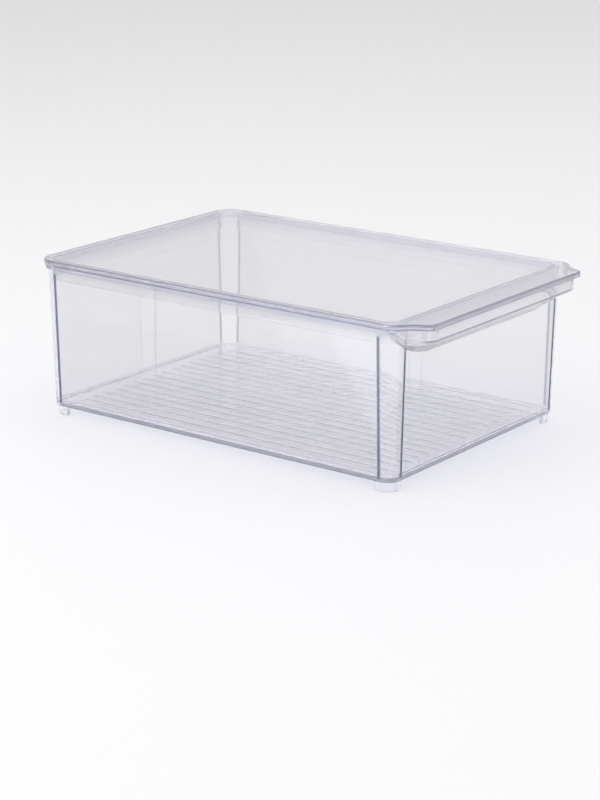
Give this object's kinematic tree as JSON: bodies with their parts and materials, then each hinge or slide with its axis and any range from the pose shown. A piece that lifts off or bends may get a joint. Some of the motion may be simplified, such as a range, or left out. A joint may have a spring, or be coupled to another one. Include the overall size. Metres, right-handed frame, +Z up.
{
  "type": "fridge bin",
  "caption": "Clear plastic refrigerator bin with a ribbed floor, a hollow pull lip on one short side and a lift-off lid.",
  "frame": {"origin": "centre of the bounding box in plan, on the ground under the feet", "axes": "+Z up, the pull lip faces -Y, the long sides run along Y"},
  "size_m": [0.1968, 0.299, 0.1049],
  "materials": {
    "bin": "clear, polished",
    "lid": "clear, polished"
  },
  "bodies": {
    "bin": {"bin": "bin"},
    "lid": {"lid": "lid"}
  },
  "joints": [
    {"name": "lid_lift", "type": "slide", "parent": "bin", "child": "lid", "axis": [0, 0, 1], "range_m": [0, 0.06]}
  ]
}
